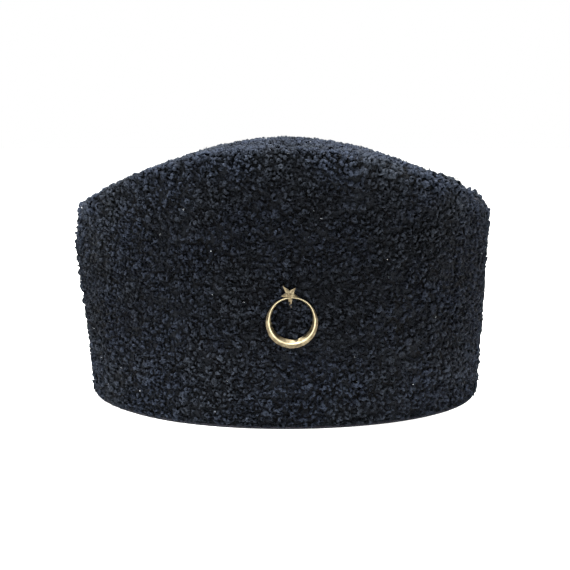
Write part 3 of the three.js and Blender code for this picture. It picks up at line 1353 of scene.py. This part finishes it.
    def _from_arm(self, across: float, up: float, point: StarPoint) -> float:
        """Gives how far a place is from the middle line of one of the star's arms.

        Args:
            across: The place beside the star's centre.
            up: The place above it.
            point: The arm.

        Returns:
            The distance in millimetres.
        """
        way = (math.cos(math.radians(point.turn)), math.sin(math.radians(point.turn)))
        ahead = max(across * way[0] + up * way[1], 0)
        return math.hypot(across - ahead * way[0], up - ahead * way[1])

    def post(self) -> bmesh.types.BMesh:
        """Makes the soldered post, which the wool and the crescent hide."""
        bm = bmesh.new()
        length = self.edge - self.post_end
        middle = (0, -(self.outer + self.hollow - self.offset) / 2, (self.edge + self.post_end) / 2)
        bmesh.ops.create_cone(
            bm,
            cap_ends=True,
            segments=16,
            radius1=self.post_radius,
            radius2=self.post_radius,
            depth=length,
            matrix=Matrix.Translation(middle),
        )
        return bm

    def build(self, brass: bpy.types.Material) -> bpy.types.Object:
        """Fuses crescent, star and post, and sets them on the hat.

        Args:
            brass: The finish.

        Returns:
            The badge, which stands for the part's own.
        """
        shapes = [self.crescent(), self.star(), self.post()]
        for bm in shapes:
            bmesh.ops.translate(bm, vec=(0, 0, self.lift), verts=bm.verts)
            bmesh.ops.transform(bm, matrix=self.place(), verts=bm.verts)
        names = ("crescent_and_star", "star_for_badge", "post_for_badge")
        piece, *others = [object_of(bm, name, brass) for bm, name in zip(shapes, names)]
        for other in others:
            fused = piece.modifiers.new("soldered", "BOOLEAN")
            fused.operation = "UNION"
            fused.solver = "EXACT"
            fused.object = other
        graph = bpy.context.evaluated_depsgraph_get()
        mesh = bpy.data.meshes.new_from_object(piece.evaluated_get(graph))
        piece.modifiers.clear()
        piece.data = mesh
        mesh.name = piece.name
        for other in others:
            bpy.data.objects.remove(other)
        for polygon in mesh.polygons:
            polygon.use_smooth = True
        mesh.set_sharp_from_angle(angle=math.radians(28))
        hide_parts("crescent_star_badge")
        return wear(piece, "badge_brass")


# The hide.

# Where the painted light from above begins on the crown, and over what height it grows, in millimetres.
TOP_LIGHT_FROM = 110.0
TOP_LIGHT_OVER = 14.0
# How much lighter the wool is painted where more light falls: on the top, at the crown's rim, and at the
# hem, which the floor lights.
TOP_LIGHT_TONE = 0.45
RIM_TONE = 0.32
HEM_TONE = 1.35
# How far up from the hem the painted light from the floor reaches, in millimetres.
HEM_LIGHT = 24.0
# How wide the strip of large curls and painted light along the crown's rim is, in millimetres.
RIM_WIDTH = 9.0
# How far up from the hem the curls are smaller and lower, in millimetres.
HEM_FADE = 2.5
# How much smaller they are there, as a share, and how much lower, in millimetres.
HEM_SMALLER = 0.35
HEM_LOWER = 0.8
# How deep the panel seam is, in millimetres.
PANEL_SEAM_DEPTH = 0.9


@dataclass
class Hide:
    """One piece of the wool body: the hide itself, and the curls that grow on it.

    Attributes:
        node: The part's solid that it stands for.
        slot: The record's slot for its finish.
        names: The pieces that the curls are split into.
        share: Which of those a place belongs to.
        outer_face: Which faces carry wool.
        seed: Its own random source.
        skin: How deep the hide lies below the tops of the curls, in millimetres.
        shade: How far below those tops the painted shade on the curls is darkest.
        gap: The usual distance between curls.
        looseness: How many loose locks lie on a square millimetre.
        largeness: How many large curls do.
        tries: How many curls are tried on a square millimetre.
        crimp: How unevenly the curls bulge, in millimetres.
        heave: How high the soft lumps stand that the curls gather into.
        seam_step: How many degrees apart the curls along the rim are.
        badge: The badge, which the curls keep clear of.
    """

    node: str
    slot: str
    names: tuple[str, ...]
    share: Callable[[np.ndarray], np.ndarray]
    outer_face: Callable[[np.ndarray, np.ndarray], np.ndarray]
    seed: int
    skin: float = 1.5
    shade: float = 2.3
    gap: float = 1.82
    looseness: float = 0.02
    largeness: float = 0.004
    tries: float = 1.9
    crimp: float = 0.11
    heave: float = 1.9
    seam_step: float = 1.0
    badge: Badge = field(default_factory=Badge)

    def _copy(self) -> bmesh.types.BMesh:
        """Copies the part's solid, with its loose triangles merged, in millimetres."""
        bm = bmesh.new()
        bm.from_mesh(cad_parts[self.node].data)
        bmesh.ops.scale(bm, vec=(1 / MM,) * 3, verts=bm.verts)
        bmesh.ops.remove_doubles(bm, verts=bm.verts, dist=0.005)
        bm.normal_update()
        return bm

    def _sides(self, bm: bmesh.types.BMesh) -> dict[bmesh.types.BMFace, Side]:
        """Sorts the faces into the wool side and the flesh side."""
        middles = np.array([f.calc_center_median() for f in bm.faces])
        normals = np.array([f.normal for f in bm.faces])
        wool = self.outer_face(middles, normals)
        return {f: Side.WOOL if w else Side.FLESH for f, w in zip(bm.faces, wool)}

    def ground(self) -> Ground:
        """Reads the outer face that the wool grows from.

        Returns:
            Its triangles with soft normals.
        """
        bm = self._copy()
        bmesh.ops.triangulate(bm, faces=bm.faces)
        sides = self._sides(bm)
        wool = [f for f, side in sides.items() if side is Side.WOOL]
        facing = {v: Vector() for f in wool for v in f.verts}
        for face in wool:
            for loop in face.loops:
                facing[loop.vert] += face.normal * loop.calc_angle()
        corners = np.array([[v.co for v in f.verts] for f in wool])
        normals = np.array([[facing[v].normalized() for v in f.verts] for f in wool])
        bm.free()
        return Ground(corners, normals)

    def build_skin(self, roots: bpy.types.Material, flesh: bpy.types.Material) -> bpy.types.Object:
        """Makes the hide below the curls from the part's own solid.

        Args:
            roots: The finish between the curls.
            flesh: The finish inside the hat.

        Returns:
            The hide, which stands for the part's solid.
        """
        bm = self._copy()
        bmesh.ops.subdivide_edges(bm, edges=bm.edges, cuts=1, use_grid_fill=True)
        bmesh.ops.triangulate(bm, faces=bm.faces)
        sides = self._sides(bm)
        wool = {v for f, side in sides.items() if side is Side.WOOL for v in f.verts}
        seam = {v for f, side in sides.items() if side is Side.FLESH for v in f.verts}
        for face, side in sides.items():
            face.material_index = 0 if side is Side.WOOL else 1
            face.smooth = True
        bm.normal_update()
        moves = {}
        lifts = zone_sum(np.array([v.co for v in wool]), lambda z: z.lift)
        for vert, lift in zip(wool, lifts):
            deep = self.skin + 0.5 * noise.noise(vert.co / 6.0) - 0.8 * lift
            if vert in seam:
                deep = min(deep, 1.0)
            moves[vert] = vert.normal * -deep
        for vert, move in moves.items():
            vert.co += move
            vert.co.z = max(vert.co.z, 0.0)
        piece = object_of(bm, f"{self.node}_hide", roots, flesh)
        piece.data.set_sharp_from_angle(angle=math.radians(50))
        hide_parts(self.node)
        return wear(piece, self.slot)

    def curls(self, wool: bpy.types.Material) -> list[bpy.types.Object]:
        """Covers the outer face with curls.

        Args:
            wool: The finish.

        Returns:
            The pieces that the curls are split into.
        """
        rng = np.random.default_rng(self.seed)
        ground = self.ground()
        a, b, c = ground.corners[:, 0], ground.corners[:, 1], ground.corners[:, 2]
        area = np.linalg.norm(np.cross(b - a, c - a), axis=1).sum() / 2
        places, facing = ground.candidates(int(self.tries * area), rng)
        seam, seam_facing = ground.rim(self.seam_step)
        places, facing = np.concatenate([seam, places]), np.concatenate([seam_facing, facing])
        sizes = 1 + 0.2 * drift(places, 14, 3.1 + self.seed) + zone_sum(places, lambda z: z.size)
        sizes += 0.14 * self._rim(places)
        sizes *= 1 - HEM_SMALLER * np.exp(-places[:, 2] / HEM_FADE)
        stay = spaced(places, self.gap * sizes * rng.uniform(0.78, 1.22, len(places)))
        places, facing, sizes = places[stay], facing[stay], sizes[stay]
        placement, kinds = self._placement(places, facing, sizes, rng)
        shapes = [lock.shape() for lock in CURLS]
        share = self.share(places)
        loose = self._loose_locks(ground, int(self.looseness * area), rng)
        large = self._large_curls(ground, int(self.largeness * area), rng)
        extras = [(LOOSE.shape(), loose), (LARGE.shape(), large)]
        pieces = []
        for number, name in enumerate(self.names):
            rows = [
                (shape, placement.pick(np.flatnonzero((share == number) & (kinds == kind))))
                for kind, shape in enumerate(shapes)
            ]
            for shape, at in extras:
                rows.append((shape, at.pick(np.flatnonzero(self.share(at.roots) == number))))
            piece = joined_locks(name, rows, wool, self.shade, self.crimp, self.heave)
            pieces.append(wear(piece, self.slot))
        log.info("%s: %d curls", self.node, len(places))
        return pieces

    def _placement(
        self,
        places: np.ndarray,
        facing: np.ndarray,
        sizes: np.ndarray,
        rng: np.random.Generator,
    ) -> tuple[Placement, np.ndarray]:
        """Turns, sinks and tones the curls.

        Args:
            places: Where each curl grows.
            facing: The normals there.
            sizes: How large each is.
            rng: The random source.

        Returns:
            The curls' placement, and the kind of each.
        """
        count = len(places)
        kinds = rng.choice(len(CURLS), count, p=CURL_SHARES)
        flow = math.tau * drift(places, 30, 7.7) + rng.normal(0, 0.9, count)
        lean = np.radians(np.clip(np.abs(rng.normal(36, 24, count)), 0, 80))
        spin = rng.uniform(0, math.tau, count)
        sizes = sizes * rng.uniform(0.82, 1.25, count)
        clumps = self._clumps(places)
        depth = (1.35 * np.sin(lean) + 0.62 * np.cos(lean)) * sizes - self._level(places, clumps)
        depth += rng.uniform(-0.15, 0.3, count)
        across = unit(np.cross(np.where(np.abs(facing[:, 2:]) > 0.9, (0, 1, 0), (0, 0, 1)), facing))
        upward = np.cross(facing, across)
        toward = across * np.cos(flow)[:, None] + upward * np.sin(flow)[:, None]
        side = np.cross(facing, toward)
        axis = facing * np.cos(lean)[:, None] + toward * np.sin(lean)[:, None]
        ahead = np.cross(side, axis)
        first = ahead * np.cos(spin)[:, None] + side * np.sin(spin)[:, None]
        second = np.cross(axis, first)
        turns = np.stack([first, second, axis], -1)
        tones = rng.normal(0.4, 0.07, count) + 0.1 * clumps
        # Painted light on the top, where the lamps above fall.
        tones += TOP_LIGHT_TONE * np.clip((places[:, 2] - TOP_LIGHT_FROM) / TOP_LIGHT_OVER, 0, 1)
        # Painted light at the hem, in the lit zones and along the crown's rim.
        tones = np.clip(tones + self._painted_light(places) + RIM_TONE * self._rim(places), 0, 1.6)
        middles = places - facing * depth[:, None]
        return Placement(turns, sizes, middles, places, facing, tones), kinds

    def _loose_locks(self, ground: Ground, count: int, rng: np.random.Generator) -> Placement:
        """Lays thin loose locks over the curls, flat but for a little lean.

        Args:
            ground: The face they lie on.
            count: How many.
            rng: The random source.

        Returns:
            Their placement.
        """
        places, facing = ground.candidates(count, rng)
        level = self._level(places, self._clumps(places))
        turns = turned_about(facing, 0.35, rng)
        middles = places + facing * (level - rng.uniform(0.0, 0.9, count))[:, None]
        # Their lighter tones are a painted highlight: thin locks on top catch the light.
        tones = rng.uniform(0.4, 0.8, count)
        sizes = rng.uniform(0.7, 1.3, count)
        return Placement(turns, sizes, middles, places, facing, tones)

    def _large_curls(self, ground: Ground, count: int, rng: np.random.Generator) -> Placement:
        """Lays a few large round curls on the others, also where the hat's own ones are.

        Args:
            ground: The face they lie on.
            count: How many, besides those with a place of their own.
            rng: The random source.

        Returns:
            Their placement.
        """
        places, facing = ground.candidates(count, rng)
        clear = (self.badge.beyond_metal(places) > 4) & (zone_sum(places, lambda z: z.size) > 0.1)
        known = [spot for spot in LARGE_CURLS if spot.node == self.node]
        places, facing = ground.with_spots(places[clear], facing[clear], known)
        count = len(places)
        turns = turned_about(facing, 0.12, rng)
        middles = places - facing * rng.uniform(0.3, 0.8, count)[:, None]
        sizes = rng.uniform(0.7, 0.95, count)
        tones = rng.uniform(0.4, 0.55, count)
        return Placement(turns, sizes, middles, places, facing, tones)

    def _clumps(self, places: np.ndarray) -> np.ndarray:
        """Gives how far a place is inside a clump of curls, from about -1 to 1."""
        return drift(places, 5.5, 1.3) + 0.8 * drift(places, 12, 4.4)

    def _rim(self, places: np.ndarray) -> np.ndarray:
        """Gives how near each place is to the crown's rim, where the curls are large and painted
        lighter.

        Args:
            places: Points on the ground.

        Returns:
            1 at the rim, falling to 0 away from it.
        """
        near = [np.linalg.norm(places - spot, axis=1) for spot in self.ground().rim(5.0)[0]]
        return np.exp(-((np.min(near, axis=0) / RIM_WIDTH) ** 2))

    def _painted_light(self, places: np.ndarray) -> np.ndarray:
        """Gives how much lighter the wool is painted where more light falls: at the hem, which the floor
        lights, and in the lit zones.
        """
        return HEM_TONE * np.exp(-((places[:, 2] / HEM_LIGHT) ** 2)) + zone_sum(places, lambda z: z.tone)

    def _level(self, places: np.ndarray, clumps: np.ndarray) -> np.ndarray:
        """Gives how far the wool rises above its usual level, in millimetres.

        Args:
            places: Points on the ground.
            clumps: How far each is inside a clump.

        Returns:
            The rise for each place.
        """
        metal = self.badge.beyond_metal(places)
        hug = 1.4 * np.exp(-(((metal - 1.1) / 1.2) ** 2))
        level = 0.3 * clumps + 0.3 * self._rim(places)
        level += zone_sum(places, lambda z: z.lift) + hug
        level += zone_sum(places, lambda z: z.lumpy) * np.clip(drift(places, 8.5, 2.2), -0.5, 0.7) * 1.6
        level += 0.5 * self.badge.inside_ring(places) - 0.9 * (metal < 0.5)
        return level - self._seam_depth(places) - HEM_LOWER * np.exp(-places[:, 2] / HEM_FADE)

    def _seam_depth(self, places: np.ndarray) -> np.ndarray:
        """Gives how far the curls sink along the panel seam on the right front."""
        across = np.radians(angle_round(places) - PANEL_SEAM_AROUND) * BAND_RADIUS
        below = 1 / (1 + np.exp((places[:, 2] - PANEL_SEAM_TOP) / 6))
        return PANEL_SEAM_DEPTH * np.exp(-((across / PANEL_SEAM_WIDTH) ** 2)) * below


def band_outside(middles: np.ndarray, normals: np.ndarray) -> np.ndarray:
    """Says which faces of the side band carry wool: those that face away from its axis."""
    away = unit(middles * (1, 1, 0))
    return ((away * normals).sum(1) > 0.2) & (normals[:, 2] > -0.9)


def crown_outside(middles: np.ndarray, normals: np.ndarray) -> np.ndarray:
    """Says which faces of the crown carry wool: those that face upwards."""
    return normals[:, 2] > 0.1


def band_quarter(places: np.ndarray) -> np.ndarray:
    """Gives the quarter of the band that each place lies in, counted from the front."""
    return (np.floor((angle_round(places) + 45) / 90) % 4).astype(int)


def crown_half(places: np.ndarray) -> np.ndarray:
    """Gives 0 at the left half of the crown and 1 at the right."""
    return (places[:, 0] > 0).astype(int)


LINT_SPOTS: tuple[Spot, ...] = (
    Spot("inside the crescent", 0.3, 52.6),
    Spot("left of the badge", -18.8, 60.0),
    Spot("above its left", -17.2, 75.5),
    Spot("above its right", 25.5, 74.0),
    Spot("low at the left", -14.5, 15.0),
    Spot("low at the right", 20.5, 27.0),
    Spot("at the left edge", -75.0, 92.0),
    Spot("right front", 43.5, 47.0),
)


@dataclass(frozen=True)
class StrayFibres:
    """Single fibres that stand out of the curls, and lint that has caught in them.

    Attributes:
        count: How many dark fibres there are.
        pale: How many pale fibres there are.
        specks: How many specks of lint lie anywhere, besides those with a place of their own.
        seed: Their random source.
    """

    count: int = 220
    pale: int = 60
    specks: int = 9
    seed: int = 41

    def build(
        self,
        grounds: Sequence[Ground],
        wool: bpy.types.Material,
        lint: bpy.types.Material,
    ) -> list[bpy.types.Object]:
        """Stands fibres over both pieces of the hat.

        Args:
            grounds: The outer faces of the band and of the crown.
            wool: The finish of the dark fibres.
            lint: The finish of the pale ones.

        Returns:
            The dark fibres and the lint.
        """
        rng = np.random.default_rng(self.seed)
        whole = Ground(
            np.concatenate([g.corners for g in grounds]),
            np.concatenate([g.facing for g in grounds]),
        )
        shape = STRAY.shape()
        dark = self._standing(whole, self.count, rng, (0.25, 0.6))
        fibres = joined_locks("stray_fibres", [(shape, dark)], wool, 2.6)
        pale = self._standing(whole, self.pale, rng, (0.25, 0.6))
        crumb = Lock("crumb of lint", tapered(steps(4, 300, (0.16, 0.1), 0.15)), 0.15, 4).shape()
        specks = self._standing(whole, self.specks, rng, (0.6, 1.2), LINT_SPOTS)
        caught = joined_locks("lint", [(shape, pale), (crumb, specks)], lint, 2.6)
        return [wear(fibres, "band_wool"), wear(caught, "band_wool")]

    def _standing(
        self,
        ground: Ground,
        count: int,
        rng: np.random.Generator,
        sizes: tuple[float, float],
        spots: Sequence[Spot] = (),
    ) -> Placement:
        """Places fibres with their roots in the wool and their tips outside it.

        Args:
            ground: The face they stand on.
            count: How many stand just anywhere.
            rng: The random source.
            sizes: The smallest and the largest.
            spots: Places that have one as well.

        Returns:
            Their placement.
        """
        places, facing = ground.candidates(count, rng)
        places, facing = ground.with_spots(places, facing, spots)
        count = len(places)
        way = unit(rng.normal(0, 1, (count, 3)) + 0.6 * facing)
        side = unit(np.cross(way, facing))
        turns = np.stack([way, side, np.cross(way, side)], -1)
        size = rng.uniform(*sizes, count)
        middles = places + facing * rng.uniform(-0.4, 0.5, count)[:, None]
        tones = rng.uniform(0.4, 1.0, count)
        return Placement(turns, size, middles, places, facing, tones)


# The studio.

# Half the floor's width, in millimetres.
FLOOR_HALF = 6000.0


def hang(
    name: str,
    thing: bpy.types.ID,
    place: tuple[float, float, float],
    aim: tuple[float, float, float],
) -> bpy.types.Object:
    """Hangs a lamp or the camera in the scene.

    Args:
        name: The object's name.
        thing: The lamp or the camera.
        place: Where it hangs, in metres.
        aim: The point that it faces, in metres.

    Returns:
        The hung object.
    """
    hung = bpy.data.objects.new(name, thing)
    hung.location = place
    hung.rotation_mode = "QUATERNION"
    hung.rotation_quaternion = (Vector(aim) - Vector(place)).to_track_quat("-Z", "Y")
    bpy.context.scene.collection.objects.link(hung)
    return hung


@dataclass(frozen=True)
class Softbox:
    """A square lamp.

    Attributes:
        name: Its name.
        place: Where it hangs, in metres.
        aim: The point that it faces, in metres.
        size: How wide it is, in metres.
        power: How strong it is, in watts.
    """

    name: str
    place: tuple[float, float, float]
    aim: tuple[float, float, float]
    size: float
    power: float


@dataclass(frozen=True)
class Studio:
    """A pale floor, soft light, and a camera where the photograph was taken from.

    Attributes:
        eye: Where the camera stands, in metres.
        aim: The point that it faces, in metres.
        lens: Its focal length, in millimetres.
        backdrop: The sky's colour behind the hat.
        room: The sky's colour on the camera's side.
        boxes: The lamps.
    """

    eye: tuple[float, float, float] = (0.0, -0.693, 0.1413)
    aim: tuple[float, float, float] = (0.0, 0.0, 0.0553)
    lens: float = 83.37
    backdrop: str = "#ffffff"
    room: str = "#3f3f3f"
    boxes: tuple[Softbox, ...] = (
        Softbox("key", (-0.7, -1.0, 1.0), (0, 0, 0.07), 0.4, 9.6),
        Softbox("front", (-0.35, -1.1, 0.42), (0, 0, 0.06), 0.35, 1.0),
        Softbox("left", (-0.75, 0.4, 1.25), (0, 0, 0.07), 0.5, 17.0),
        Softbox("right", (0.9, 0.4, 1.05), (0, 0, 0.07), 0.5, 62.0),
        Softbox("top", (-0.2, -0.2, 1.3), (0, 0, 0.1), 0.5, 136.0),
    )

    def build(self, floor_finish: bpy.types.Material) -> None:
        """Sets up the floor, the sky, the lamps and the camera.

        Args:
            floor_finish: The floor's material.
        """
        bm = bmesh.new()
        bmesh.ops.create_grid(bm, x_segments=1, y_segments=1, size=FLOOR_HALF)
        floor = object_of(bm, "floor", floor_finish)
        scene = bpy.context.scene
        world = bpy.data.worlds.new("studio sky")
        scene.world = world
        world.use_nodes = True
        world.node_tree.nodes.clear()
        way = add_node(world.node_tree, "ShaderNodeTexCoord").outputs["Object"]
        apart = add_node(world.node_tree, "ShaderNodeSeparateXYZ", {}, {"Vector": way})
        behind = add_range(world.node_tree, apart.outputs["Y"], (-0.1, 0.5))
        sky = add_blend(world.node_tree, behind, self.room, self.backdrop)
        light = add_node(world.node_tree, "ShaderNodeBackground", {}, {"Color": sky})
        links = {"Surface": light.outputs["Background"]}
        add_node(world.node_tree, "ShaderNodeOutputWorld", {}, links)
        for box in self.boxes:
            lamp = bpy.data.lights.new(box.name, "AREA")
            lamp.size = box.size
            lamp.energy = box.power
            hang(box.name, lamp, box.place, box.aim)
        camera = bpy.data.cameras.new("camera")
        camera.lens = self.lens
        camera.sensor_width = 36.0
        scene.camera = hang("camera", camera, self.eye, self.aim)
        scene.view_settings.view_transform = "Standard"


def main() -> None:
    """Builds the studio and the hat, piece by piece."""
    logging.basicConfig(level=logging.INFO, format="%(name)s %(message)s")
    table = PlainNoise(
        "opal acrylic table, lit from below",
        dark="#f2f2f0",
        light="#f6f6f4",
        grain=40.0,
        relief=0.02,
        roughness=0.9,
        glow=1.1,
    )
    Studio().build(table.material())
    wool = CurledLambswool("karakul lambswool, dyed and curled").material()
    # The wool between the curls is painted in shade.
    roots = ShadedPackedWool("karakul lambswool, matted near the hide").material()
    flesh = PlainNoise(
        "hide, dyed, flesh side", dark="#1a1a1e", light="#2a2a30", grain=0.9, relief=0.15
    ).material()
    lint = PlainNoise(
        "pale lint", dark="#8b8e93", light="#c3c6ca", grain=0.4, relief=0.05
    ).material()
    brass = CastBrass("brass, cast and rubbed").material()
    nut_brass = CastBrass("brass, turned", rubbed="#b99a5c", aged="#8a6d38").material()
    badge = Badge()
    band = Hide(
        "side_band",
        "band_wool",
        ("curls_front", "curls_right", "curls_back", "curls_left"),
        band_quarter,
        band_outside,
        seed=5,
        badge=badge,
    )
    crown = Hide(
        "crown_top",
        "crown_wool",
        ("curls_crown_left", "curls_crown_right"),
        crown_half,
        crown_outside,
        seed=9,
        badge=badge,
    )
    for hide in (band, crown):
        hide.build_skin(roots, flesh)
        hide.curls(wool)
    StrayFibres().build([band.ground(), crown.ground()], wool, lint)
    badge.build(brass)
    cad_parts["badge_nut"].material_slots[0].material = nut_brass


if __name__ == "__main__":
    main()
